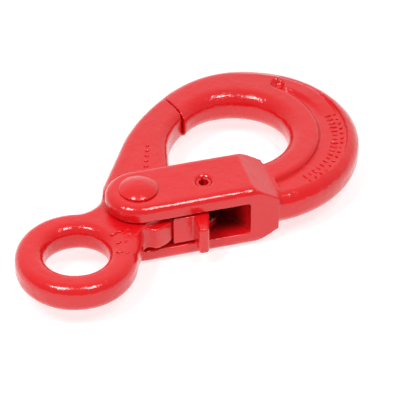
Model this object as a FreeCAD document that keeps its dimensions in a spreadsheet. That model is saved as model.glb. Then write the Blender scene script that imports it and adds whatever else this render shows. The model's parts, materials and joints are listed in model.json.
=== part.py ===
import FreeCAD, Part
import math
import os

import Sketcher

# Self-locking safety hook with an eye: a forged hook body whose rear end is a clevis,
# a swinging latch forged in one with the lifting eye, the load pin that carries it,
# and the thumb trigger with its spring on a slotted spring pin.
# The eye's centre is the origin, +X runs along the load line to the hook's crown,
# +Y points to the latch side and +Z is the axis of both pins.

V = FreeCAD.Vector

DRIVING = {
    # lifting eye and neck
    "eye_bore_radius": 12.5,
    "eye_wall": 11.5,
    "eye_thickness": 12.6,
    "eye_round": 4.5,
    "neck_length": 12.0,
    "neck_bend": 12.0,
    "neck_swell": 40.0,
    "neck_side_gap": 1.0,
    # load pin, its place seen from the eye, and the tilt of the clevis
    "pin_aside": 1.3,
    "pin_radius": 5.5,
    "pin_head_radius": 7.9,
    "pin_head_height": 3.2,
    "clevis_tilt": 31.3,
    # clevis
    "clevis_half_width": 13.4,
    "cheek_wall": 6.7,
    "clevis_round": 3.6,
    "cheek_length": 43.6,
    "cheek_run_out": 10.4,
    "cheek_toe": 0.8,
    "slot_web": 1.6,
    "slot_front_end": 25.5,
    "slot_slope": 3.0,
    # bowl of the hook, in the clevis's own directions from the load pin
    "crown_ahead": 5.3,
    "crown_aside": 3.0,
    "bowl_wall": 23.2,
    "seat_ahead": 49.5,
    "seat_aside": 35.1,
    "seat_radius": 22.0,
    "bowl_thickness": 15.4,
    "bowl_round": 6.4,
    # split between the latch and the hook tip
    "split_ahead": 32.1,
    "split_aside": 51.2,
    "split_lean": 18.7,
    "split_gap": 0.35,
    # sunk panel round the crown
    "panel_depth": 2.4,
    "panel_rim": 5.0,
    "panel_end_width": 7.2,
    "panel_bulge": 2.7,
    "panel_start": 23.0,
    "panel_finish": 119.5,
    "panel_shoulder": 2.1,
    # latch
    "hub_radius": 14.2,
    "hub_side_gap": 0.6,
    "hub_boss_radius": 12.0,
    "tooth_side_gap": 2.4,
    "tooth_height": 1.8,
    "tooth_angle": 45.0,
    "tooth_spread": 34.0,
    "notch_depth": 2.6,
    "notch_spread": 31.0,
    "latch_side_gap": 0.3,
    "latch_round": 4.0,
    "latch_outer_bend": 89.0,
    "latch_inner_bend": 36.0,
    "latch_tip_width": 15.8,
    "latch_inner_ahead": 20.4,
    "latch_inner_aside": 31.9,
    "latch_foot_ahead": 15.4,
    "latch_foot_aside": 7.0,
    "latch_outer_ahead": 4.4,
    "latch_outer_aside": 42.7,
    "latch_root_ahead": 2.08,
    "latch_root_aside": 7.796,
    # trigger and spring pin
    "spring_pin_ahead": 25.9,
    "spring_pin_aside": 1.8,
    "spring_pin_radius": 3.0,
    "spring_pin_wall": 1.0,
    "spring_pin_slit": 0.9,
    "spring_pin_sunk": 0.8,
    "countersink": 0.9,
    "trigger_side_gap": 1.1,
    "trigger_boss": 5.6,
    "boss_room": 4.5,
    "trigger_nose": 10.6,
    "nose_depth": 6.6,
    "trigger_inset": 0.5,
    "thumb_left": 18.8,
    "thumb_width": 3.8,
    "thumb_reach": 8.6,
    "thumb_flare": 2.6,
    "wire_diameter": 0.9,
    "spring_turns": 4.0,
    "spring_play": 0.25,
    "body_leg_angle": 90.0,
    "thumb_leg_angle": -24.0,
    # clearances
    "pin_running": 0.06,
    "swing_clearance": 0.4,
    # how far a cutting outline runs past what it cuts
    "overrun": 5.0,
}

SLOT = "(sizes.eye_thickness + 2 * sizes.neck_side_gap)"
CROWN = "(sizes.seat_radius + sizes.bowl_wall)"

# sizes that follow from the driving ones
FITTED = {
    "pin_ahead": "sizes.eye_bore_radius + sizes.eye_wall + sizes.neck_length",
    "slot_width": SLOT,
    "clevis_thickness": SLOT + " + 2 * sizes.cheek_wall",
    "slot_back_end": "max(sizes.cheek_length - sizes.slot_web; "
                     "sizes.spring_pin_ahead + sizes.trigger_boss + sizes.boss_room)",
    "bowl_ahead": "sizes.seat_ahead + sizes.crown_ahead",
    "bowl_aside": "sizes.seat_aside - sizes.crown_aside",
    "bowl_outer_radius": CROWN,
    "bowl_edge": "min(sizes.bowl_round; sizes.bowl_thickness * 0.45)",
    "panel_outer": CROWN + " - sizes.panel_rim",
    "panel_inner": CROWN + " - sizes.panel_rim - sizes.panel_end_width",
    "panel_bend": CROWN + " - sizes.panel_rim - sizes.panel_end_width + sizes.panel_bulge",
    "hub_thickness": SLOT + " - 2 * sizes.hub_side_gap",
    "tooth_thickness": SLOT + " - 2 * sizes.tooth_side_gap",
    "tooth_radius": "sizes.hub_radius + sizes.tooth_height",
    "latch_thickness": SLOT + " - 2 * sizes.latch_side_gap",
    "trigger_thickness": SLOT + " - 2 * sizes.trigger_side_gap",
}


def make_sheet(doc):
    sheet = doc.addObject("Spreadsheet::Sheet", "sizes")
    for row, (alias, value) in enumerate(DRIVING.items(), start=1):
        sheet.set("A%d" % row, alias)
        sheet.set("B%d" % row, str(value))
        sheet.setAlias("B%d" % row, alias)
    doc.recompute()
    return sheet


def make_fitted(doc):
    fitted = doc.addObject("App::VarSet", "fitted")
    for name, expression in FITTED.items():
        fitted.addProperty("App::PropertyFloat", name)
        fitted.setExpression(name, expression)
    doc.recompute()
    return fitted


doc = FreeCAD.newDocument("safety_hook")
sheet = make_sheet(doc)
fitted = make_fitted(doc)


def size(name):
    return float(getattr(fitted if name in FITTED else sheet, name))


def bind(item, prop, expression):
    item.setExpression(prop, expression)


def plane_of(body, role):
    return [f for f in body.Origin.OriginFeatures if f.Role == role][0]


def new_body(name):
    return doc.addObject("PartDesign::Body", name)


def new_sketch(body, name, role="XY_Plane"):
    sketch = body.newObject("Sketcher::SketchObject", name)
    sketch.AttachmentSupport = [(plane_of(body, role), "")]
    sketch.MapMode = "FlatFace"
    return sketch


def fix_point(sketch, geometry, end, x, y):
    """Ties one point to two expressions."""
    for kind, expression in (("DistanceX", x), ("DistanceY", y)):
        value = float(sheet.evalExpression(expression))
        index = sketch.addConstraint(Sketcher.Constraint(kind, geometry, end, value))
        bind(sketch, "Constraints[%d]" % index, expression)


def fix_size(sketch, kind, geometry, expression):
    value = float(sheet.evalExpression(expression))
    index = sketch.addConstraint(Sketcher.Constraint(kind, geometry, value))
    bind(sketch, "Constraints[%d]" % index, expression)


def draw_circle(sketch, x, y, radius):
    centre = V(sheet.evalExpression(x), sheet.evalExpression(y), 0)
    circle = Part.Circle(centre, V(0, 0, 1), float(sheet.evalExpression(radius)))
    index = sketch.addGeometry(circle, False)
    fix_point(sketch, index, 3, x, y)
    fix_size(sketch, "Radius", index, radius)


def arc_between(start, finish, radius, turn):
    """Arc from start to finish; turn is +1 when it runs anticlockwise."""
    middle = (start + finish) * 0.5
    chord = finish - start
    rise = math.sqrt(radius ** 2 - (chord.Length / 2) ** 2)
    side = V(-chord.y, chord.x, 0).normalize()
    centre = middle + side * (rise * turn)
    if turn > 0:
        first, last = start - centre, finish - centre
    else:
        first, last = finish - centre, start - centre
    low = math.atan2(first.y, first.x)
    high = math.atan2(last.y, last.x)
    return Part.ArcOfCircle(Part.Circle(centre, V(0, 0, 1), radius), low, high)


def draw_outline(sketch, corners):
    """Closed outline. Each corner is (x, y) or (x, y, radius, turn): the last two bend
    the side that leaves it."""
    at = [V(float(sheet.evalExpression(c[0])), float(sheet.evalExpression(c[1])), 0) for c in corners]
    ends = []
    for i, corner in enumerate(corners):
        start, finish = at[i], at[(i + 1) % len(at)]
        if len(corner) == 2:
            index = sketch.addGeometry(Part.LineSegment(start, finish), False)
            ends.append((index, 1, 2))
        else:
            radius = float(sheet.evalExpression(corner[2]))
            index = sketch.addGeometry(arc_between(start, finish, radius, corner[3]), False)
            ends.append((index, 1, 2) if corner[3] > 0 else (index, 2, 1))
    for i, (index, start_end, finish_end) in enumerate(ends):
        following = ends[(i + 1) % len(ends)]
        sketch.addConstraint(
            Sketcher.Constraint("Coincident", index, finish_end, following[0], following[1])
        )
    for i, corner in enumerate(corners):
        fix_point(sketch, ends[i][0], ends[i][1], corner[0], corner[1])
        if len(corner) > 2:
            fix_size(sketch, "Radius", ends[i][0], corner[2])


def pad(body, sketch, thickness, name):
    feature = body.newObject("PartDesign::Pad", name)
    feature.Profile = sketch
    feature.Midplane = True
    bind(feature, "Length", thickness)
    doc.recompute()
    return feature


def pocket(body, sketch, name, depth=None):
    """Cuts through all, or to a depth on both sides of the sketch."""
    before = body.Shape.Volume
    feature = body.newObject("PartDesign::Pocket", name)
    feature.Profile = sketch
    feature.Midplane = True
    if depth is None:
        feature.Type = "ThroughAll"
    else:
        bind(feature, "Length", depth)
    doc.recompute()
    if not feature.Shape.Volume < before:
        raise ValueError(name + " cuts nothing")
    return feature


def round_edges(body, base, edges, radius, name):
    feature = body.newObject("PartDesign::Fillet", name)
    feature.Base = (base, edges)
    bind(feature, "Radius", radius)
    doc.recompute()
    return feature


def edges_where(shape, test):
    return ["Edge%d" % (i + 1) for i, edge in enumerate(shape.Edges) if test(edge)]


def flat_at(edge, height):
    """True when the whole edge lies on one of the planes z = +height and z = -height."""
    low, high = edge.BoundBox.ZMin, edge.BoundBox.ZMax
    return high - low < 1e-6 and abs(abs(high) - height) < 1e-6


def clevis_placement():
    """The clevis's own directions, with the load pin at the origin."""
    turn = FreeCAD.Rotation(V(0, 0, 1), -size("clevis_tilt"))
    return FreeCAD.Placement(V(size("pin_ahead"), size("pin_aside"), 0), turn)


def split_point(along, across):
    """A point of the split, along it from the bowl's seat and across it towards the latch."""
    x = "sizes.split_ahead - sin(sizes.split_lean) * (%s) - cos(sizes.split_lean) * (%s)"
    y = "sizes.split_aside + cos(sizes.split_lean) * (%s) - sin(sizes.split_lean) * (%s)"
    return x % (along, across), y % (along, across)


def bowl_point(radius, angle):
    x = "fitted.bowl_ahead + (%s) * cos(%s)" % (radius, angle)
    y = "fitted.bowl_aside + (%s) * sin(%s)" % (radius, angle)
    return x, y


def make_hook_body():
    body = new_body("hook_body_solid")
    half_bowl = size("bowl_thickness") / 2

    disc = new_sketch(body, "bowl_outer")
    draw_circle(disc, "fitted.bowl_ahead", "fitted.bowl_aside", "fitted.bowl_outer_radius")
    solid = pad(body, disc, "sizes.bowl_thickness", "bowl")
    seat = new_sketch(body, "bowl_seat")
    draw_circle(seat, "sizes.seat_ahead", "sizes.seat_aside", "sizes.seat_radius")
    solid = pocket(body, seat, "seat")
    rims = edges_where(solid.Shape, lambda e: flat_at(e, half_bowl))
    solid = round_edges(body, solid, rims, "fitted.bowl_edge", "bowl_rounding")

    throat = new_sketch(body, "throat_outline")
    inner = split_point("-sizes.latch_tip_width", "0")
    outer = split_point("2 * sizes.latch_tip_width", "0")
    draw_outline(throat, [
        inner,
        outer,
        ("-fitted.bowl_outer_radius", outer[1]),
        ("-fitted.bowl_outer_radius", "sizes.clevis_half_width - sizes.clevis_round"),
        ("sizes.cheek_length", "sizes.clevis_half_width - sizes.clevis_round"),
        ("sizes.cheek_length + 2", "sizes.clevis_half_width"),
    ])
    solid = pocket(body, throat, "throat")

    make_panels(body)

    cheeks = new_sketch(body, "clevis_outline")
    run_out = "sizes.cheek_length + sizes.cheek_run_out"
    half_width = "sizes.clevis_half_width"
    draw_outline(cheeks, [
        ("0", half_width, half_width, 1),
        ("-" + half_width, "0", half_width, 1),
        ("0", "-" + half_width),
        (run_out, "-" + half_width),
        (run_out, half_width + " - sizes.cheek_toe"),
        ("sizes.cheek_length", half_width),
    ])
    solid = pad(body, cheeks, "fitted.clevis_thickness", "clevis")
    half_clevis = size("clevis_thickness") / 2
    wide = size("clevis_half_width") * 0.8
    rims = edges_where(solid.Shape, lambda e: flat_at(e, half_clevis) and e.BoundBox.YLength < 2 * wide)
    solid = round_edges(body, solid, rims, "sizes.clevis_round", "clevis_rounding")

    for name, side in (("upper", 1), ("lower", -1)):
        ramp = new_sketch(body, "run_out_" + name, "XZ_Plane")
        half = "%d * fitted.clevis_thickness / 2" % side
        past = half + " + %d * sizes.overrun" % side
        low = "%d * sizes.bowl_thickness / 2" % side
        draw_outline(ramp, [
            ("sizes.cheek_length", half),
            ("sizes.cheek_length", past),
            (run_out + " + sizes.overrun", past),
            (run_out + " + sizes.overrun", low),
            (run_out, low),
        ])
        solid = pocket(body, ramp, "run_out_cut_" + name)

    slot = new_sketch(body, "slot_outline")
    back = "-sizes.clevis_half_width"
    draw_outline(slot, [
        ("-sizes.clevis_half_width - sizes.overrun", back + " - sizes.overrun"),
        ("fitted.slot_back_end", back + " - sizes.overrun"),
        ("fitted.slot_back_end", back + " + sizes.slot_slope"),
        ("sizes.slot_front_end", "sizes.clevis_half_width"),
        ("sizes.slot_front_end", "sizes.clevis_half_width + sizes.overrun"),
        ("-sizes.clevis_half_width - sizes.overrun", "sizes.clevis_half_width + sizes.overrun"),
    ])
    solid = pocket(body, slot, "slot", "fitted.slot_width")

    holes = new_sketch(body, "pin_holes")
    draw_circle(holes, "0", "0", "sizes.pin_radius")
    draw_circle(holes, "sizes.spring_pin_ahead", "-sizes.spring_pin_aside", "sizes.spring_pin_radius")
    solid = pocket(body, holes, "pin_bores")
    mouths = edges_where(
        solid.Shape, lambda e: flat_at(e, half_clevis) and isinstance(e.Curve, Part.Circle)
        and abs(e.Curve.Radius - size("spring_pin_radius")) < 1e-6
    )
    chamfer = body.newObject("PartDesign::Chamfer", "spring_pin_countersinks")
    chamfer.Base = (solid, mouths)
    bind(chamfer, "Size", "sizes.countersink")
    body.Label = "hook_body"
    body.Placement = clevis_placement()
    doc.recompute()
    return body


def make_panels(body):
    """Sunk crescent panels round the crown, one on each face, with a rounded inner shoulder."""
    outer = "fitted.panel_outer"
    inner = "fitted.panel_inner"
    start = "sizes.clevis_tilt + sizes.panel_start"
    finish = "sizes.clevis_tilt - sizes.panel_finish"
    half = size("bowl_thickness") / 2
    for name, side in (("upper", 1), ("lower", -1)):
        panel = new_sketch(body, "panel_" + name)
        panel.AttachmentOffset = FreeCAD.Placement(V(0, 0, side * half), FreeCAD.Rotation())
        draw_outline(panel, [
            bowl_point(inner, finish) + ("fitted.panel_bend", 1),
            bowl_point(inner, start),
            bowl_point(outer, start) + (outer, -1),
            bowl_point(outer, finish),
        ])
        solid = pocket(body, panel, "panel_cut_" + name, "2 * sizes.panel_depth")
        shoulder = edges_where(
            solid.Shape, lambda e: flat_at(e, half) and e.BoundBox.ZMax * side > 0
            and isinstance(e.Curve, Part.Circle) and abs(e.Curve.Radius - size("panel_bend")) < 1e-6
        )
        round_edges(body, solid, shoulder, "sizes.panel_shoulder", "panel_shoulder_" + name)


def make_eye():
    body = new_body("eye_blank")
    ring = new_sketch(body, "ring_outline")
    draw_circle(ring, "0", "0", "sizes.eye_bore_radius + sizes.eye_wall")
    pad(body, ring, "sizes.eye_thickness", "ring")
    bore = new_sketch(body, "ring_bore")
    draw_circle(bore, "0", "0", "sizes.eye_bore_radius")
    solid = pocket(body, bore, "bore")
    rims = edges_where(solid.Shape, lambda e: flat_at(e, size("eye_thickness") / 2))
    round_edges(body, solid, rims, "sizes.eye_round", "ring_rounding")
    return body


def make_neck():
    """Flares from the ring to the hub, with its waist between them."""
    body = new_body("neck_blank")
    outline = new_sketch(body, "neck_outline")
    ring = "(sizes.eye_bore_radius + sizes.eye_wall)"
    gate_side = "sizes.pin_aside + sizes.hub_radius * 1.1"
    hub_left = "fitted.pin_ahead - sizes.hub_radius * 0.62"
    hub_low = "sizes.pin_aside - sizes.hub_radius * 0.78"
    draw_outline(outline, [
        (ring + " * 0.6", ring + " * 0.77", "sizes.neck_bend", 1),
        ("fitted.pin_ahead - sizes.hub_radius * 0.4", gate_side),
        ("fitted.pin_ahead", "sizes.pin_aside + sizes.hub_radius * 0.7"),
        ("fitted.pin_ahead", "sizes.pin_aside - sizes.hub_radius * 0.7"),
        (hub_left, hub_low, "sizes.neck_swell", -1),
        (ring + " * 0.6", "-" + ring + " * 0.77"),
        (ring + " * 0.66", "0"),
    ])
    solid = pad(body, outline, "sizes.eye_thickness", "neck")
    rims = edges_where(
        solid.Shape, lambda e: flat_at(e, size("eye_thickness") / 2) and isinstance(e.Curve, Part.Circle)
    )
    round_edges(body, solid, rims, "sizes.eye_round * 0.9", "neck_rounding")
    return body


def hub_point(radius, angle):
    """Point seen from the load pin, the angle measured from the clevis's own axis."""
    return "(%s) * cos(%s)" % (radius, angle), "(%s) * sin(%s)" % (radius, angle)


def make_hub():
    body = new_body("hub_blank")
    disc = new_sketch(body, "hub_outline")
    draw_circle(disc, "0", "0", "sizes.hub_radius")
    pad(body, disc, "fitted.tooth_thickness", "hub")
    boss = new_sketch(body, "hub_boss_outline")
    draw_circle(boss, "0", "0", "sizes.hub_boss_radius")
    pad(body, boss, "fitted.hub_thickness", "hub_boss")
    tooth = new_sketch(body, "tooth_outline")
    reach = "fitted.tooth_radius"
    draw_outline(tooth, [
        hub_point(reach, "-sizes.tooth_angle - sizes.tooth_spread") + (reach, 1),
        hub_point(reach, "-sizes.tooth_angle"),
        ("0", "0"),
        hub_point("sizes.hub_boss_radius", "-sizes.tooth_angle - 2 * sizes.tooth_spread"),
    ])
    pad(body, tooth, "fitted.tooth_thickness", "tooth")
    notch = new_sketch(body, "notch_outline")
    floor = "sizes.hub_radius - sizes.notch_depth"
    far = "sizes.notch_spread - sizes.tooth_angle"
    draw_outline(notch, [
        hub_point(floor, "-sizes.tooth_angle") + (floor, 1),
        hub_point(floor, far),
        hub_point("fitted.tooth_radius + sizes.overrun", far),
        hub_point("fitted.tooth_radius + sizes.overrun", "-sizes.tooth_angle"),
    ])
    pocket(body, notch, "catch_notch")
    body.Placement = clevis_placement()
    doc.recompute()
    return body


def make_gate():
    body = new_body("gate_blank")
    outline = new_sketch(body, "gate_outline")
    inner_tip = split_point("0", "sizes.split_gap")
    outer_tip = split_point("sizes.latch_tip_width", "sizes.split_gap")
    rim_ahead = "-sizes.hub_radius * 0.9"
    rim_aside = "sizes.hub_radius * 0.62"
    draw_outline(outline, [
        inner_tip,
        outer_tip + ("sizes.latch_outer_bend", 1),
        ("sizes.latch_outer_ahead", "sizes.latch_outer_aside"),
        (rim_ahead + " + sizes.latch_root_ahead", rim_aside + " + sizes.latch_root_aside"),
        (rim_ahead, rim_aside),
        ("0", "0"),
        ("sizes.latch_foot_ahead - 2", "0"),
        ("sizes.latch_foot_ahead", "sizes.latch_foot_aside"),
        ("sizes.latch_inner_ahead", "sizes.latch_inner_aside", "sizes.latch_inner_bend", -1),
    ])
    solid = pad(body, outline, "fitted.latch_thickness", "gate")
    rims = edges_where(solid.Shape, lambda e: flat_at(e, size("latch_thickness") / 2) and is_flank(e))
    round_edges(body, solid, rims, "sizes.latch_round", "gate_rounding")
    body.Placement = clevis_placement()
    doc.recompute()
    return body


def is_flank(edge):
    """True for the latch's two long sides, not for its tip or its root."""
    return edge.Length > size("latch_tip_width") + 1 and edge.BoundBox.YMin > size("latch_foot_aside") - 1


def make_latch():
    blanks = [make_eye(), make_neck(), make_hub(), make_gate()]
    joined = doc.addObject("Part::MultiFuse", "latch_blank")
    joined.Shapes = blanks
    drill = doc.addObject("Part::Cylinder", "load_pin_bore")
    bind(drill, "Radius", "sizes.pin_radius + sizes.pin_running")
    bind(drill, "Height", "fitted.clevis_thickness")
    bind(drill, "Placement.Base.x", "fitted.pin_ahead")
    bind(drill, "Placement.Base.y", "sizes.pin_aside")
    bind(drill, "Placement.Base.z", "-fitted.clevis_thickness / 2")
    latch = doc.addObject("Part::Cut", "latch_eye_solid")
    latch.Base = joined
    latch.Tool = drill
    latch.Label = "latch_eye"
    doc.recompute()
    return latch


def revolve(body, sketch, name):
    feature = body.newObject("PartDesign::Revolution", name)
    feature.Profile = sketch
    feature.ReferenceAxis = (sketch, ["V_Axis"])
    feature.Angle = 360
    doc.recompute()
    return feature


def make_load_pin():
    body = new_body("load_pin_solid")
    profile = new_sketch(body, "pin_profile", "XZ_Plane")
    cheek = "fitted.clevis_thickness / 2"
    brim = "sizes.pin_head_height * 0.2"
    rise = "(sizes.pin_head_height * 0.8)"
    dome = "(sizes.pin_head_radius ^ 2 + %s ^ 2) / (2 * %s)" % (rise, rise)
    draw_outline(profile, [
        ("0", "-%s + 0.2" % cheek),
        ("sizes.pin_radius", "-%s + 0.2" % cheek),
        ("sizes.pin_radius", cheek),
        ("sizes.pin_head_radius", cheek),
        ("sizes.pin_head_radius", "%s + %s" % (cheek, brim), dome, 1),
        ("0", "%s + sizes.pin_head_height" % cheek),
    ])
    revolve(body, profile, "pin")
    body.Label = "load_pin"
    body.Placement = clevis_placement()
    doc.recompute()
    return body


def make_spring_pin():
    body = new_body("spring_pin_solid")
    length = "fitted.clevis_thickness - 2 * sizes.spring_pin_sunk"
    outer = new_sketch(body, "roll_outline")
    draw_circle(outer, "0", "0", "sizes.spring_pin_radius")
    pad(body, outer, length, "roll")
    inner = new_sketch(body, "roll_bore")
    draw_circle(inner, "0", "0", "sizes.spring_pin_radius - sizes.spring_pin_wall")
    pocket(body, inner, "roll_hollow")
    slit = new_sketch(body, "slit_outline")
    half = "sizes.spring_pin_slit / 2"
    draw_outline(slit, [
        ("-" + half, "0"),
        (half, "0"),
        (half, "sizes.spring_pin_radius + 1"),
        ("-" + half, "sizes.spring_pin_radius + 1"),
    ])
    pocket(body, slit, "slit")
    body.Label = "spring_pin"
    at = clevis_placement()
    offset = V(size("spring_pin_ahead"), -size("spring_pin_aside"), 0)
    body.Placement = at.multiply(FreeCAD.Placement(offset, FreeCAD.Rotation()))
    doc.recompute()
    return body


def make_trigger():
    body = new_body("trigger_solid")
    pin_u = "sizes.spring_pin_ahead"
    pin_n = "-sizes.spring_pin_aside"
    back = "-sizes.clevis_half_width + sizes.trigger_inset"
    reach = "-sizes.clevis_half_width - sizes.thumb_reach"
    right = "sizes.thumb_left + sizes.thumb_width"
    plate = new_sketch(body, "trigger_outline")
    draw_outline(plate, [
        ("sizes.trigger_nose", back + " + sizes.nose_depth"),
        ("sizes.trigger_nose", back),
        ("sizes.thumb_left", back),
        ("sizes.thumb_left", reach),
        (right, reach),
        (right + " + sizes.thumb_flare", back),
        (right + " + sizes.thumb_flare", pin_n + " - sizes.trigger_boss * 0.8"),
        (pin_u, pin_n),
        (pin_u + " - sizes.trigger_boss * 0.6", pin_n + " + sizes.trigger_boss * 0.7"),
    ])
    solid = pad(body, plate, "fitted.trigger_thickness", "trigger_plate")
    end = -size("clevis_half_width") - size("thumb_reach")
    corners = edges_where(solid.Shape, lambda e: abs(e.BoundBox.YMin - end) < 1e-6)
    solid = round_edges(body, solid, corners, "sizes.thumb_width * 0.3", "thumb_rounding")
    boss = new_sketch(body, "boss_outline")
    draw_circle(boss, pin_u, pin_n, "sizes.trigger_boss")
    pad(body, boss, "fitted.trigger_thickness", "boss")
    sweep = new_sketch(body, "hub_sweep")
    draw_circle(sweep, "0", "0", "fitted.tooth_radius + sizes.swing_clearance")
    pocket(body, sweep, "nose_face")
    bore = new_sketch(body, "trigger_bore")
    draw_circle(bore, pin_u, pin_n, "sizes.spring_pin_radius + sizes.pin_running")
    pocket(body, bore, "pivot_bore")
    room = new_sketch(body, "spring_room")
    draw_circle(room, pin_u, pin_n, "sizes.trigger_boss + 0.3")
    pocket(body, room, "spring_gap", "(sizes.spring_turns + 1) * sizes.wire_diameter + 0.6")
    body.Label = "trigger"
    body.Placement = clevis_placement()
    doc.recompute()
    return body


def make_spring():
    """Torsion spring: its close-wound coil as a sleeve round the spring pin, one leg on
    the bowl side of the thumb piece and one towards the end of the slot."""
    wire = size("wire_diameter") / 2
    mean = size("spring_pin_radius") + size("spring_play") + wire
    height = (size("spring_turns") + 0.5) * size("wire_diameter")
    base = V(0, 0, -height / 2)
    shape = Part.makeCylinder(mean + wire, height, base)
    wall = size("slot_back_end") - size("spring_pin_ahead")
    thumb = size("clevis_half_width") - size("spring_pin_aside") - size("spring_pin_radius")
    level = height / 2 - wire
    for angle, at, length in (("body_leg_angle", -level, wall * 0.42), ("thumb_leg_angle", level, thumb)):
        turn = math.radians(size(angle))
        foot = V(mean * math.cos(turn), mean * math.sin(turn), at)
        along = V(math.sin(turn), -math.cos(turn), 0)
        shape = shape.fuse(Part.makeCylinder(wire * 0.98, length, foot, along))
    shape = shape.cut(Part.makeCylinder(mean - wire, height * 2, base * 2))
    spring = doc.addObject("Part::Feature", "trigger_spring_solid")
    spring.Shape = shape
    spring.Label = "trigger_spring"
    offset = V(size("spring_pin_ahead"), -size("spring_pin_aside"), 0)
    spring.Placement = clevis_placement().multiply(FreeCAD.Placement(offset, FreeCAD.Rotation()))
    return spring


def check_model(pieces):
    doc.recompute()
    for item in doc.Objects:
        bad = [word for word in item.State if word in ("Invalid", "Error")]
        if bad:
            raise ValueError("%s is %s" % (item.Name, bad))
    for piece in pieces:
        shape = piece.Shape
        if shape.isNull() or not shape.isValid() or len(shape.Solids) != 1:
            raise ValueError(piece.Label + " is not one valid solid")


pieces = [
    make_hook_body(),
    make_latch(),
    make_load_pin(),
    make_spring_pin(),
    make_trigger(),
    make_spring(),
]
check_model(pieces)
os.makedirs("parts", exist_ok=True)
for piece in pieces:
    piece.Shape.exportStep("parts/%s.step" % piece.Label)
    print("%-16s %9.1f mm3" % (piece.Label, piece.Shape.Volume))
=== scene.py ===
import json
import math

import bmesh
import bpy
from mathutils import Matrix, Vector, noise


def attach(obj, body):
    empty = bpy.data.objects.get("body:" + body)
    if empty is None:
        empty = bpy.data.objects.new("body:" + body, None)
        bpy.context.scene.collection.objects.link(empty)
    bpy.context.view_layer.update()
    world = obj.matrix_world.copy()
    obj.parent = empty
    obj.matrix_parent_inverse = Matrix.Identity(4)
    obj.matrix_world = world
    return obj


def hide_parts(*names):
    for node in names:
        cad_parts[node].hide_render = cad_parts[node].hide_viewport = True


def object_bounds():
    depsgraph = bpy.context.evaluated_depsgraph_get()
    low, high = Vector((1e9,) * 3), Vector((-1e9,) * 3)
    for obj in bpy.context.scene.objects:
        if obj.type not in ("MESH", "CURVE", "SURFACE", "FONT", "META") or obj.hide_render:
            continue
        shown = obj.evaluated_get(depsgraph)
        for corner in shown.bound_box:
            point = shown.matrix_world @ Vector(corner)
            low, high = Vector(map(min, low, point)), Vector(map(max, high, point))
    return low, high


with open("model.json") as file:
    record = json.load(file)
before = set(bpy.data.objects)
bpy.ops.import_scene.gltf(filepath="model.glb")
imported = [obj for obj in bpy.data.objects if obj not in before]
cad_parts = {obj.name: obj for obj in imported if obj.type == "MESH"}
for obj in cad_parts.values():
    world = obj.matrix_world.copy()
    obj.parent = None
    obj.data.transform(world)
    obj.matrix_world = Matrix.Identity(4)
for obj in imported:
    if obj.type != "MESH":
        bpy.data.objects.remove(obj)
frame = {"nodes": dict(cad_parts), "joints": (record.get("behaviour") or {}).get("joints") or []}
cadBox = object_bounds()
print("frame loaded:", sorted(frame["nodes"]))

jointPlace = {joint["name"]: Vector(joint["pos_m"]) for joint in frame["joints"] if "pos_m" in joint}
eyeCentre = Vector((0.0, 0.0, 0.0))
loadPinCentre = jointPlace["latch_swing"]
springPinCentre = jointPlace["trigger_press"]
clevisAngle = math.radians(-31.3)
clevisAlong = Vector((math.cos(clevisAngle), math.sin(clevisAngle), 0.0))
clevisAcross = Vector((-math.sin(clevisAngle), math.cos(clevisAngle), 0.0))


def clevisPoint(along, across, height=0.0):
    return loadPinCentre + clevisAlong * along + clevisAcross * across + Vector((0.0, 0.0, height))


# Shader groups that several paints share

def newGroup(name, inputs, outputs):
    group = bpy.data.node_groups.new(name, "ShaderNodeTree")
    for label, kind, value in inputs:
        socket = group.interface.new_socket(name=label, in_out="INPUT", socket_type=kind)
        socket.default_value = value
    for label, kind in outputs:
        group.interface.new_socket(name=label, in_out="OUTPUT", socket_type=kind)
    start = group.nodes.new("NodeGroupInput")
    finish = group.nodes.new("NodeGroupOutput")
    return group, start, finish


def addNoise(tree, vector, scale, detail, roughness):
    node = tree.nodes.new("ShaderNodeTexNoise")
    node.inputs["Detail"].default_value = detail
    node.inputs["Roughness"].default_value = roughness
    tree.links.new(vector, node.inputs["Vector"])
    if isinstance(scale, float):
        node.inputs["Scale"].default_value = scale
    else:
        tree.links.new(scale, node.inputs["Scale"])
    return node.outputs["Fac"]


def addMath(tree, operation, first, second):
    node = tree.nodes.new("ShaderNodeMath")
    node.operation = operation
    for socket, value in zip(node.inputs, (first, second)):
        if isinstance(value, (int, float)):
            socket.default_value = value
        else:
            tree.links.new(value, socket)
    return node.outputs[0]


def addRise(tree, value, low, high):
    # 0 below low, 1 above high
    node = tree.nodes.new("ShaderNodeMapRange")
    node.interpolation_type = "SMOOTHSTEP"
    node.inputs["From Min"].default_value = low
    node.inputs["From Max"].default_value = high
    tree.links.new(value, node.inputs["Value"])
    return node.outputs["Result"]


def addFall(tree, value, low, high):
    return addMath(tree, "SUBTRACT", 1.0, addRise(tree, value, low, high))


def addColourMix(tree, factor, first, second):
    # first and second are plain colours or links
    mix = tree.nodes.new("ShaderNodeMix")
    mix.data_type = "RGBA"
    for label, colour in (("A", first), ("B", second)):
        if isinstance(colour, tuple):
            mix.inputs[label].default_value = (*colour, 1.0)
        else:
            tree.links.new(colour, mix.inputs[label])
    tree.links.new(factor, mix.inputs["Factor"])
    return mix.outputs["Result"]


skinLook = {
    "peelDetail": 2.0, "peelRoughness": 0.5,
    "lumpDetail": 3.0, "lumpRoughness": 0.55,
    "mottleScale": 60.0, "mottleDetail": 4.0, "mottleRoughness": 0.6,
}


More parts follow.
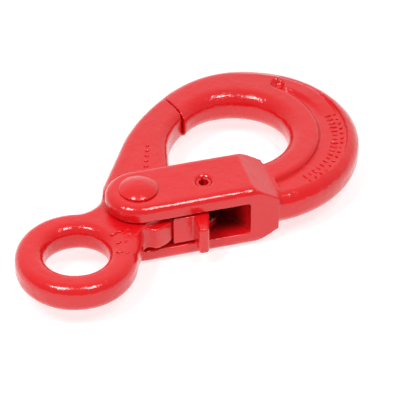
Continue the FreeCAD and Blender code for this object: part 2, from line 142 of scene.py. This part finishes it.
def buildPaintSkinGroup():
    # height of the runs, the orange peel and the scale of the forging under the paint
    group, start, finish = newGroup(
        "paintSkin",
        [
            ("Vector", "NodeSocketVector", (0.0, 0.0, 0.0)),
            ("Peel Scale", "NodeSocketFloat", 900.0),
            ("Peel Height", "NodeSocketFloat", 0.35),
            ("Lump Scale", "NodeSocketFloat", 150.0),
            ("Lump Height", "NodeSocketFloat", 1.0),
        ],
        [("Height", "NodeSocketFloat"), ("Mottle", "NodeSocketFloat")],
    )
    heights = []
    for kind in ("peel", "lump"):
        label = kind.capitalize()
        detail, roughness = skinLook[kind + "Detail"], skinLook[kind + "Roughness"]
        bumps = addNoise(group, start.outputs["Vector"], start.outputs[label + " Scale"], detail, roughness)
        heights.append(addMath(group, "MULTIPLY", bumps, start.outputs[label + " Height"]))
    group.links.new(addMath(group, "ADD", *heights), finish.inputs["Height"])
    mottle = addNoise(
        group, start.outputs["Vector"],
        skinLook["mottleScale"], skinLook["mottleDetail"], skinLook["mottleRoughness"],
    )
    group.links.new(mottle, finish.inputs["Mottle"])
    return group


# the region deep in the clevis slot that gets painted shade
slotShadowMaskLook = {
    "mouth": -0.0128, "deep": -0.0040, "farSide": 0.0125,
    "front": 0.0090, "end": 0.0425, "halfWidth": 0.0074, "fade": 0.0012,
}


def buildPaintedSlotShadeGroup():
    # painted shade mask: 1 deep inside the clevis slot and 0 outside it; the vector is in the clevis's own
    # directions
    group, start, finish = newGroup(
        "paintedSlotShade", [("Vector", "NodeSocketVector", (0.0, 0.0, 0.0))], [("Mask", "NodeSocketFloat")]
    )
    split = group.nodes.new("ShaderNodeSeparateXYZ")
    group.links.new(start.outputs["Vector"], split.inputs["Vector"])
    along, across = split.outputs["X"], split.outputs["Y"]
    height = addMath(group, "ABSOLUTE", split.outputs["Z"], 0.0)
    half, fade = slotShadowMaskLook["halfWidth"], slotShadowMaskLook["fade"]
    inside = addRise(group, across, slotShadowMaskLook["mouth"], slotShadowMaskLook["deep"])
    for limit in (
        addFall(group, height, half - fade / 4, half + fade),
        addRise(group, along, slotShadowMaskLook["front"], slotShadowMaskLook["front"] + 4 * fade),
        addFall(group, along, slotShadowMaskLook["end"] - fade, slotShadowMaskLook["end"]),
        addFall(group, across, slotShadowMaskLook["farSide"] - fade, slotShadowMaskLook["farSide"]),
    ):
        inside = addMath(group, "MULTIPLY", inside, limit)
    group.links.new(inside, finish.inputs["Mask"])
    return group


paintSkin = buildPaintSkinGroup()
paintedSlotShade = buildPaintedSlotShadeGroup()

# Materials

paintLook = {
    "shade": (0.800, 0.0085, 0.0125),
    "deepShade": (0.700, 0.0050, 0.0080),
    # the next colour is painted shade for deep inside the clevis slot
    "paintedSlotShade": (0.150, 0.0016, 0.0022),
    "roughness": 0.20,
    "roughnessSpread": 0.12,
    "bumpDistance": 0.00045,
    "coat": 0.40,
    "coatRoughness": 0.035,
}
# the slot flag in each coat turns on painted shade deep in the clevis slot
forgingCoat = {"peelScale": 620.0, "lumpScale": 210.0, "bump": 0.95, "rougher": 0.0, "paintedShadeInSlot": True}
latchCoat = {"peelScale": 620.0, "lumpScale": 210.0, "bump": 0.95, "rougher": 0.0, "paintedShadeInSlot": False}
pinCoat = {"peelScale": 800.0, "lumpScale": 260.0, "bump": 0.75, "rougher": 0.0, "paintedShadeInSlot": False}
triggerCoat = {"peelScale": 720.0, "lumpScale": 240.0, "bump": 0.80, "rougher": 0.03, "paintedShadeInSlot": True}
steelLook = {
    "dark": (0.035, 0.033, 0.031), "bright": (0.085, 0.080, 0.076),
    "roughness": 0.25, "roughnessSpread": 0.25,
}


def newMaterial(name):
    material = bpy.data.materials.new(name)
    material.use_nodes = True
    tree = material.node_tree
    shader = tree.nodes["Principled BSDF"]
    place = tree.nodes.new("ShaderNodeTexCoord").outputs["Object"]
    return material, tree, shader, place


def addSkin(tree, place):
    skin = tree.nodes.new("ShaderNodeGroup")
    skin.node_tree = paintSkin
    tree.links.new(place, skin.inputs["Vector"])
    return skin


def addRoughness(tree, shader, mottle, lowest, spread):
    rough = addMath(tree, "MULTIPLY_ADD", mottle, spread)
    rough.node.inputs[2].default_value = lowest
    tree.links.new(rough, shader.inputs["Roughness"])


def addPaintedSlotShade(tree, place, colour):
    # painted shade: a dark colour deep in the clevis slot, standing in for the shadow inside the enclosed
    # slot
    turned = tree.nodes.new("ShaderNodeMapping")
    turned.vector_type = "TEXTURE"
    turned.inputs["Location"].default_value = loadPinCentre
    turned.inputs["Rotation"].default_value = (0.0, 0.0, clevisAngle)
    tree.links.new(place, turned.inputs["Vector"])
    slot = tree.nodes.new("ShaderNodeGroup")
    slot.node_tree = paintedSlotShade
    tree.links.new(turned.outputs["Vector"], slot.inputs["Vector"])
    return addColourMix(tree, slot.outputs["Mask"], colour, paintLook["paintedSlotShade"])


def makePaint(name, coat):
    material, tree, shader, place = newMaterial(name)
    skin = addSkin(tree, place)
    skin.inputs["Peel Scale"].default_value = coat["peelScale"]
    skin.inputs["Lump Scale"].default_value = coat["lumpScale"]
    colour = addColourMix(tree, skin.outputs["Mottle"], paintLook["deepShade"], paintLook["shade"])
    # darken deep in the clevis slot with painted shade
    if coat["paintedShadeInSlot"]:
        colour = addPaintedSlotShade(tree, place, colour)
    tree.links.new(colour, shader.inputs["Base Color"])
    bump = tree.nodes.new("ShaderNodeBump")
    bump.inputs["Strength"].default_value = coat["bump"]
    bump.inputs["Distance"].default_value = paintLook["bumpDistance"]
    tree.links.new(skin.outputs["Height"], bump.inputs["Height"])
    tree.links.new(bump.outputs["Normal"], shader.inputs["Normal"])
    lowest = paintLook["roughness"] + coat["rougher"] - paintLook["roughnessSpread"] / 2
    addRoughness(tree, shader, skin.outputs["Mottle"], lowest, paintLook["roughnessSpread"])
    shader.inputs["Coat Weight"].default_value = paintLook["coat"]
    shader.inputs["Coat Roughness"].default_value = paintLook["coatRoughness"]
    return material


def makeSpringSteel():
    material, tree, shader, place = newMaterial("oiledSpringSteel")
    mottle = addSkin(tree, place).outputs["Mottle"]
    colour = addColourMix(tree, mottle, steelLook["dark"], steelLook["bright"])
    tree.links.new(colour, shader.inputs["Base Color"])
    shader.inputs["Metallic"].default_value = 1.0
    addRoughness(tree, shader, mottle, steelLook["roughness"], steelLook["roughnessSpread"])
    return material


forgingPaint = makePaint("redEnamelOnForging", forgingCoat)
latchPaint = makePaint("redEnamelOnLatch", latchCoat)
pinPaint = makePaint("redEnamelOnPins", pinCoat)
triggerPaint = makePaint("redEnamelOnTrigger", triggerCoat)
springSteel = makeSpringSteel()
print("materials made")


# Tools for the pieces

def linkNew(name, data):
    piece = bpy.data.objects.new(name, data)
    bpy.context.scene.collection.objects.link(piece)
    return piece


def copyOfNode(node, name):
    mesh = frame["nodes"][node].data.copy()
    mesh.name = name
    piece = linkNew(name, mesh)
    shape = bmesh.new()
    shape.from_mesh(mesh)
    bmesh.ops.remove_doubles(shape, verts=shape.verts, dist=1e-7)
    shape.to_mesh(mesh)
    shape.free()
    return piece


def bakedMesh(piece):
    graph = bpy.context.evaluated_depsgraph_get()
    return bpy.data.meshes.new_from_object(piece.evaluated_get(graph))


def remesh(piece, grain, smoothing):
    # edges run together as hot forging and thick paint leave them
    modifier = piece.modifiers.new("grain", "REMESH")
    modifier.mode = "VOXEL"
    modifier.voxel_size = grain
    modifier.use_smooth_shade = True
    soft = piece.modifiers.new("soft", "SMOOTH")
    soft.factor = 0.5
    soft.iterations = smoothing
    mesh = bakedMesh(piece)
    piece.modifiers.clear()
    piece.data = mesh
    return piece


def finishPiece(piece, material, body, slot, *nodes):
    piece.data.materials.clear()
    piece.data.materials.append(material)
    for polygon in piece.data.polygons:
        polygon.material_index = 0
        polygon.use_smooth = True
    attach(piece, body)
    if nodes:
        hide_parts(*nodes)
    return piece


def smoothStep(value, low, high):
    share = min(max((value - low) / (high - low), 0.0), 1.0)
    return share * share * (3.0 - 2.0 * share)


hammered = {
    "lumpSize": 0.009, "lumpDepth": 0.00014, "fineSize": 0.0028, "fineDepth": 0.000060, "press": 0.5,
}


def hammer(piece):
    # low uneven waves pressed into the surface, always inwards
    mesh = piece.data
    moves = []
    for vertex, normal in zip(mesh.vertices, mesh.vertex_normals):
        wide = noise.noise(vertex.co / hammered["lumpSize"]) - 1.0
        fine = noise.noise(vertex.co / hammered["fineSize"]) - 1.0
        depth = wide * hammered["lumpDepth"] + fine * hammered["fineDepth"]
        moves.append(vertex.co + Vector(normal.vector) * depth * hammered["press"])
    for vertex, place in zip(mesh.vertices, moves):
        vertex.co = place
    mesh.update()


# Hook body. A "Face" value is the height above which a move applies, so the other parts keep still

hookLook = {
    "grain": 0.00050, "smoothing": 5,
    "bowlAlong": 0.0548, "bowlAcross": 0.0321, "bowlHalf": 0.0077,
    "splitAlong": 0.0321, "splitAcross": 0.0512, "splitNormal": (0.976, -0.218, 0.0),
    "tipReach": 0.024, "tipDrop": 0.0007, "tipFace": 0.002, "tipSide": 0.018,
    "dimplePlace": (0.0324, 0.0131, 0.0), "dimpleRadius": 0.0029, "dimpleDepth": 0.0024,
    "dimpleCurve": 0.6, "dimpleFace": 0.003,
    "panelFloor": 0.0053, "panelHead": 0.00725, "panelInner": 0.0322, "panelShoulder": 0.0022,
    "panelOverlap": 0.0004, "panelFace": 0.0045,
    "headAngle": 4.0, "headRun": 34.0, "headEnd": 32.0,
    "rimRadius": 0.0402, "rimDrop": 0.0006, "rimInside": 0.0015, "rimOutside": 0.0006, "rimFace": 0.004,
    "rimAngles": (-100.0, -10.0, 30.0, 60.0),
}
bowlCentre = clevisPoint(hookLook["bowlAlong"], hookLook["bowlAcross"])
dimpleCentre = bowlCentre + Vector(hookLook["dimplePlace"])
splitFoot = clevisPoint(hookLook["splitAlong"], hookLook["splitAcross"])
splitNormal = Vector(hookLook["splitNormal"])


def aroundBowl(vertex):
    arm = vertex.co.xy - bowlCentre.xy
    return arm.length, math.degrees(math.atan2(arm.y, arm.x))


def thinTip(vertex):
    # the tip thins a little towards the split so that it meets the latch level
    if not (abs(vertex.co.z) > hookLook["tipFace"] and vertex.co.y > hookLook["tipSide"]):
        return
    distance = (vertex.co - splitFoot).dot(splitNormal)
    share = 1.0 - smoothStep(distance, 0.0, hookLook["tipReach"])
    vertex.co.z *= 1.0 - share * hookLook["tipDrop"] / hookLook["bowlHalf"]


def fillPanelHead(vertex):
    # the panel's floor climbs to the surface at its head instead of ending in a square step
    reach, angle = aroundBowl(vertex)
    inner, outer = hookLook["panelInner"], hookLook["rimRadius"] + hookLook["panelOverlap"]
    first = hookLook["headAngle"] - hookLook["headRun"]
    if abs(vertex.co.z) < hookLook["panelFace"] or not inner < reach < outer:
        return
    if not first < angle < hookLook["headEnd"]:
        return
    climb = smoothStep(angle, first, hookLook["headAngle"])
    climb *= smoothStep(reach, inner, inner + hookLook["panelShoulder"])
    level = hookLook["panelFloor"] + (hookLook["panelHead"] - hookLook["panelFloor"]) * climb
    vertex.co.z = math.copysign(max(abs(vertex.co.z), level), vertex.co.z)


def lowerRim(vertex):
    # the outer rim runs down to the panel towards the crown, so its step fades there
    reach, angle = aroundBowl(vertex)
    first, full, ease, last = hookLook["rimAngles"]
    inside = hookLook["rimRadius"] - hookLook["rimInside"]
    if abs(vertex.co.z) < hookLook["rimFace"] or reach < inside or not first < angle < last:
        return
    across = smoothStep(reach, inside, hookLook["rimRadius"] + hookLook["rimOutside"])
    along = smoothStep(angle, first, full) * (1.0 - smoothStep(angle, ease, last))
    drop = hookLook["rimDrop"] * across * along
    vertex.co.z *= 1.0 - drop / hookLook["bowlHalf"]


def pressDimple(vertex):
    # the round sink at the head of the panel, on both faces
    reach = (vertex.co.xy - dimpleCentre.xy).length / hookLook["dimpleRadius"]
    if reach < 1.0 and abs(vertex.co.z) > hookLook["dimpleFace"]:
        sink = hookLook["dimpleDepth"] * (1.0 - reach ** 2) ** hookLook["dimpleCurve"]
        vertex.co.z -= math.copysign(sink, vertex.co.z)


def makeHook():
    piece = remesh(copyOfNode("hook_body", "hookForging"), hookLook["grain"], hookLook["smoothing"])
    for vertex in piece.data.vertices:
        thinTip(vertex)
        fillPanelHead(vertex)
        lowerRim(vertex)
        pressDimple(vertex)
    hammer(piece)
    return finishPiece(piece, forgingPaint, "hook", "red_paint", "hook_body")


# Latch with its eye, the two pins and the trigger

latchLook = {"grain": 0.00050, "smoothing": 6}


def makeLatch():
    piece = remesh(copyOfNode("latch_eye", "latchForging"), latchLook["grain"], latchLook["smoothing"])
    hammer(piece)
    return finishPiece(piece, latchPaint, "latch", "red_paint", "latch_eye")


loadPinLook = {"grain": 0.00032, "smoothing": 3}


def makeLoadPin():
    piece = remesh(copyOfNode("load_pin", "loadPin"), loadPinLook["grain"], loadPinLook["smoothing"])
    hammer(piece)
    return finishPiece(piece, pinPaint, "hook", "red_paint", "load_pin")


springPinLook = {"grain": 0.00014, "smoothing": 2}


def makeSpringPin():
    copy = copyOfNode("spring_pin", "springPin")
    piece = remesh(copy, springPinLook["grain"], springPinLook["smoothing"])
    return finishPiece(piece, pinPaint, "hook", "red_paint", "spring_pin")


triggerLook = {"grain": 0.00025, "smoothing": 6}


def makeTrigger():
    copy = copyOfNode("trigger", "thumbTrigger")
    piece = remesh(copy, triggerLook["grain"], triggerLook["smoothing"])
    return finishPiece(piece, triggerPaint, "trigger", "red_paint", "trigger")


makeHook()
makeLatch()
makeLoadPin()
makeSpringPin()
makeTrigger()
print("forgings and pins made")


# Torsion spring: a wire that follows its own winding

springLook = {
    "pinRadius": 0.003, "play": 0.00025, "wire": 0.0009, "drawn": 0.96,
    "turns": 3.5, "start": 90.0, "pitch": 0.00096, "steps": 96,
    "bodyLeg": 0.0062, "reach": 0.0050, "bend": 0.0007, "bendSteps": 6,
}


def newCurve(name, points, radius):
    data = bpy.data.curves.new(name, "CURVE")
    data.dimensions = "3D"
    spline = data.splines.new("POLY")
    spline.points.add(len(points) - 1)
    for slot, point in zip(spline.points, points):
        slot.co = (*point, 1.0)
    data.bevel_depth = radius
    data.bevel_resolution = 4
    data.use_fill_caps = True
    return linkNew(name, data)


def coilPoints():
    mean = springLook["pinRadius"] + springLook["play"] + springLook["wire"] / 2
    low = -springLook["pitch"] * springLook["turns"] / 2
    coil = []
    for step in range(springLook["steps"] + 1):
        share = step / springLook["steps"]
        angle = math.radians(springLook["start"]) + share * springLook["turns"] * 2 * math.pi
        height = low + share * springLook["pitch"] * springLook["turns"]
        side = clevisAlong * math.cos(angle) + clevisAcross * math.sin(angle)
        coil.append(springPinCentre + side * mean + Vector((0.0, 0.0, height)))
    return coil


def thumbLegPoints(start):
    # leaves along the clevis and turns down the bowl side of the thumb piece
    bend = springLook["bend"]
    corner = start + clevisAlong * (bend * 0.5)
    leg = []
    for step in range(springLook["bendSteps"] + 1):
        angle = math.radians(90.0 - step * 90.0 / springLook["bendSteps"])
        ahead = corner + clevisAlong * (bend * math.cos(angle))
        leg.append(ahead + clevisAcross * (bend * (math.sin(angle) - 1.0)))
    leg.append(leg[-1] - clevisAcross * springLook["reach"])
    return leg


def makeSpring():
    coil = coilPoints()
    bodyLeg = coil[0] + (coil[0] - coil[1]).normalized() * springLook["bodyLeg"]
    path = [bodyLeg] + coil + thumbLegPoints(coil[-1])
    curve = newCurve("springWire", path, springLook["wire"] / 2 * springLook["drawn"])
    mesh = bakedMesh(curve)
    bpy.data.objects.remove(curve)
    piece = linkNew("torsionSpring", mesh)
    return finishPiece(piece, springSteel, "trigger", "spring_steel", "trigger_spring")


makeSpring()
print("spring made")


# Plain raised marks where the forging carries its lettering: bars and dots that say nothing

markBall = {"segments": 10, "rings": 6}


def buildMarkTree():
    tree = bpy.data.node_groups.new("raisedMarks", "GeometryNodeTree")
    face = tree.interface
    face.new_socket(name="Path", in_out="INPUT", socket_type="NodeSocketGeometry")
    for label, kind, value in (
        ("Count", "NodeSocketInt", 12),
        ("Length", "NodeSocketFloat", 0.0030),
        ("Width", "NodeSocketFloat", 0.0010),
        ("Height", "NodeSocketFloat", 0.0009),
        ("Unevenness", "NodeSocketFloat", 0.35),
        ("Seed", "NodeSocketInt", 7),
        ("Material", "NodeSocketMaterial", None),
    ):
        socket = face.new_socket(name=label, in_out="INPUT", socket_type=kind)
        if value is not None:
            socket.default_value = value
    face.new_socket(name="Marks", in_out="OUTPUT", socket_type="NodeSocketGeometry")
    make, link = tree.nodes.new, tree.links.new
    start, finish = make("NodeGroupInput"), make("NodeGroupOutput")
    points = make("GeometryNodeResampleCurve")
    link(start.outputs["Path"], points.inputs["Curve"])
    link(start.outputs["Count"], points.inputs["Count"])
    tangent = make("GeometryNodeInputTangent")
    turn = make("FunctionNodeAlignRotationToVector")
    turn.axis = "Y"
    turn.pivot_axis = "Z"
    link(tangent.outputs["Tangent"], turn.inputs["Vector"])
    ball = make("GeometryNodeMeshUVSphere")
    ball.inputs["Segments"].default_value = markBall["segments"]
    ball.inputs["Rings"].default_value = markBall["rings"]
    ball.inputs["Radius"].default_value = 0.5  # one across, so the scale is the size
    shape = make("ShaderNodeCombineXYZ")
    for label, axis in (("Length", "X"), ("Width", "Y"), ("Height", "Z")):
        link(start.outputs[label], shape.inputs[axis])
    spread = make("FunctionNodeRandomValue")
    low = make("ShaderNodeMath")
    low.operation = "SUBTRACT"
    low.inputs[0].default_value = 1.0
    link(start.outputs["Unevenness"], low.inputs[1])
    link(low.outputs[0], spread.inputs[2])
    spread.inputs[3].default_value = 1.0
    link(start.outputs["Seed"], spread.inputs["Seed"])
    grow = make("ShaderNodeVectorMath")
    grow.operation = "SCALE"
    link(shape.outputs[0], grow.inputs[0])
    link(spread.outputs[1], grow.inputs["Scale"])
    place = make("GeometryNodeInstanceOnPoints")
    link(points.outputs["Curve"], place.inputs["Points"])
    link(ball.outputs["Mesh"], place.inputs["Instance"])
    link(turn.outputs["Rotation"], place.inputs["Rotation"])
    link(grow.outputs[0], place.inputs["Scale"])
    solid = make("GeometryNodeRealizeInstances")
    link(place.outputs["Instances"], solid.inputs["Geometry"])
    paint = make("GeometryNodeSetMaterial")
    link(solid.outputs["Geometry"], paint.inputs["Geometry"])
    link(start.outputs["Material"], paint.inputs["Material"])
    link(paint.outputs["Geometry"], finish.inputs["Marks"])
    return tree


markTree = buildMarkTree()


def makeMarkRow(points, **values):
    # one row of marks along a path, as a plain mesh
    curve = newCurve("markPath", points, 0.0)
    modifier = curve.modifiers.new("marks", "NODES")
    modifier.node_group = markTree
    for item in markTree.interface.items_tree:
        if item.in_out == "INPUT" and item.name in values:
            modifier[item.identifier] = values[item.name]
    mesh = bakedMesh(curve)
    bpy.data.objects.remove(curve)
    return mesh


def joinMarks(name, rows, body, paint):
    shape = bmesh.new()
    for row in rows:
        shape.from_mesh(row)
    bmesh.ops.recalc_face_normals(shape, faces=shape.faces)
    mesh = bpy.data.meshes.new(name)
    shape.to_mesh(mesh)
    shape.free()
    return finishPiece(linkNew(name, mesh), paint, body, "red_paint")


def arcPath(centre, radius, first, last, height):
    steps = 24
    path = []
    for step in range(steps + 1):
        angle = math.radians(first + (last - first) * step / steps)
        path.append(centre + Vector((radius * math.cos(angle), radius * math.sin(angle), height)))
    return path


panelMarks = {
    "floor": 0.0052, "first": -26.0, "last": -98.0,
    "innerRadius": 0.0352, "innerRow": {"Count": 18, "Length": 0.0034, "Seed": 3},
    "outerRadius": 0.0380, "outerRow": {"Count": 16, "Length": 0.0018, "Seed": 11},
    "mark": {"Width": 0.0009, "Height": 0.0015, "Unevenness": 0.40, "Material": forgingPaint},
}


def makePanelMarks():
    rows = []
    for row in ("inner", "outer"):
        radius = panelMarks[row + "Radius"]
        path = arcPath(bowlCentre, radius, panelMarks["first"], panelMarks["last"], panelMarks["floor"])
        rows.append(makeMarkRow(path, **panelMarks[row + "Row"], **panelMarks["mark"]))
    return joinMarks("panelMarks", rows, "hook", forgingPaint)


latchMarks = {
    "armFirst": (0.0075, 0.0185, 0.0070), "armLast": (0.0125, 0.0345, 0.0070),
    "armRow": {"Count": 6, "Length": 0.0022, "Height": 0.0010, "Seed": 5},
    "eyeTop": 0.0063, "first": -52.0, "last": -14.0,
    "innerRadius": 0.0168, "innerRow": {"Count": 3, "Length": 0.0036, "Height": 0.0009, "Seed": 9},
    "outerRadius": 0.0196, "outerRow": {"Count": 3, "Length": 0.0022, "Height": 0.0009, "Seed": 9},
    "mark": {"Width": 0.0014, "Material": latchPaint},
}


def makeLatchMarks():
    arm = [clevisPoint(*latchMarks["armFirst"]), clevisPoint(*latchMarks["armLast"])]
    rows = [makeMarkRow(arm, **latchMarks["armRow"], **latchMarks["mark"])]
    for row in ("inner", "outer"):
        radius = latchMarks[row + "Radius"]
        path = arcPath(eyeCentre, radius, latchMarks["first"], latchMarks["last"], latchMarks["eyeTop"])
        rows.append(makeMarkRow(path, **latchMarks[row + "Row"], **latchMarks["mark"]))
    return joinMarks("latchMarks", rows, "latch", latchPaint)


makePanelMarks()
makeLatchMarks()
print("marks made")


# Floor, light and camera

floorLook = {"below": 0.0003, "size": 6.0, "shade": 0.45, "glow": 0.70, "roughness": 0.9, "specular": 0.1}


def makeFloor():
    half = floorLook["size"] / 2
    height = cadBox[0].z - floorLook["below"]
    mesh = bpy.data.meshes.new("floor")
    corners = [(-half, -half, height), (half, -half, height), (half, half, height), (-half, half, height)]
    mesh.from_pydata(corners, [], [(0, 1, 2, 3)])
    floor = linkNew("floor", mesh)
    material, tree, shader, place = newMaterial("palePaper")
    shader.inputs["Base Color"].default_value = (floorLook["shade"],) * 3 + (1.0,)
    shader.inputs["Roughness"].default_value = floorLook["roughness"]
    shader.inputs["Specular IOR Level"].default_value = floorLook["specular"]
    shader.inputs["Emission Color"].default_value = (1.0, 1.0, 1.0, 1.0)
    shader.inputs["Emission Strength"].default_value = floorLook["glow"]
    mesh.materials.append(material)


viewpoint = {
    "turn": 47.0, "tilt": 39.5, "distance": 0.900, "right": -0.04766, "up": -0.02383,
    "lens": 209.6, "sensor": 36.0, "near": 0.05, "far": 20.0,
}


def viewAxes():
    turn, tilt = math.radians(viewpoint["turn"]), math.radians(viewpoint["tilt"])
    right = Vector((math.cos(turn), -math.sin(turn), 0.0))
    level = Vector((math.sin(turn), math.cos(turn), 0.0))
    forward = level * math.cos(tilt) - Vector((0.0, 0.0, math.sin(tilt)))
    up = level * math.sin(tilt) + Vector((0.0, 0.0, math.cos(tilt)))
    return right, up, forward, level


def makeCamera():
    right, up, forward, level = viewAxes()
    data = bpy.data.cameras.new("camera")
    data.lens = viewpoint["lens"]
    data.sensor_width = viewpoint["sensor"]
    data.clip_start, data.clip_end = viewpoint["near"], viewpoint["far"]
    camera = linkNew("camera", data)
    place = eyeCentre - right * viewpoint["right"] - up * viewpoint["up"] - forward * viewpoint["distance"]
    turned = Matrix((right, up, -forward)).transposed().to_4x4()
    camera.matrix_world = Matrix.Translation(place) @ turned
    bpy.context.scene.camera = camera


lightLook = {
    "leftBox": {"aside": -0.42, "width": 0.26, "height": 0.32, "power": 5.2},
    "rightBox": {"aside": 0.30, "width": 0.20, "height": 0.28, "power": 3.8},
    "towards": 0.42, "distance": 1.1,
}


def makeLights():
    right, up, forward, level = viewAxes()
    middle = (cadBox[0] + cadBox[1]) / 2
    for name in ("leftBox", "rightBox"):
        look = lightLook[name]
        data = bpy.data.lights.new(name, "AREA")
        data.shape = "RECTANGLE"
        data.size, data.size_y = look["width"], look["height"]
        data.energy = look["power"]
        direction = Vector((0.0, 0.0, 1.0)) - level * lightLook["towards"] + right * look["aside"]
        light = linkNew(name, data)
        light.location = middle + direction.normalized() * lightLook["distance"]
        light.rotation_mode = "QUATERNION"
        light.rotation_quaternion = (-direction).to_track_quat("-Z", "Y")


skyLook = {"front": 0.30, "back": 0.84, "frontEdge": -0.3, "backEdge": 0.8}


def makeSky():
    # a white sweep behind the object and a dimmer room in front of it
    right, up, forward, level = viewAxes()
    world = bpy.data.worlds.new("studio")
    world.use_nodes = True
    tree = world.node_tree
    direction = tree.nodes.new("ShaderNodeTexCoord").outputs["Generated"]
    facing = tree.nodes.new("ShaderNodeVectorMath")
    facing.operation = "DOT_PRODUCT"
    facing.inputs[1].default_value = level
    tree.links.new(direction, facing.inputs[0])
    sky = tree.nodes.new("ShaderNodeMapRange")
    sky.inputs["From Min"].default_value = skyLook["frontEdge"]
    sky.inputs["From Max"].default_value = skyLook["backEdge"]
    sky.inputs["To Min"].default_value = skyLook["front"]
    sky.inputs["To Max"].default_value = skyLook["back"]
    tree.links.new(facing.outputs["Value"], sky.inputs["Value"])
    background = tree.nodes["Background"]
    background.inputs["Color"].default_value = (1.0, 1.0, 1.0, 1.0)
    tree.links.new(sky.outputs["Result"], background.inputs["Strength"])
    bpy.context.scene.world = world
    bpy.context.scene.view_settings.view_transform = "Standard"


makeFloor()
makeCamera()
makeLights()
makeSky()
print("studio made")
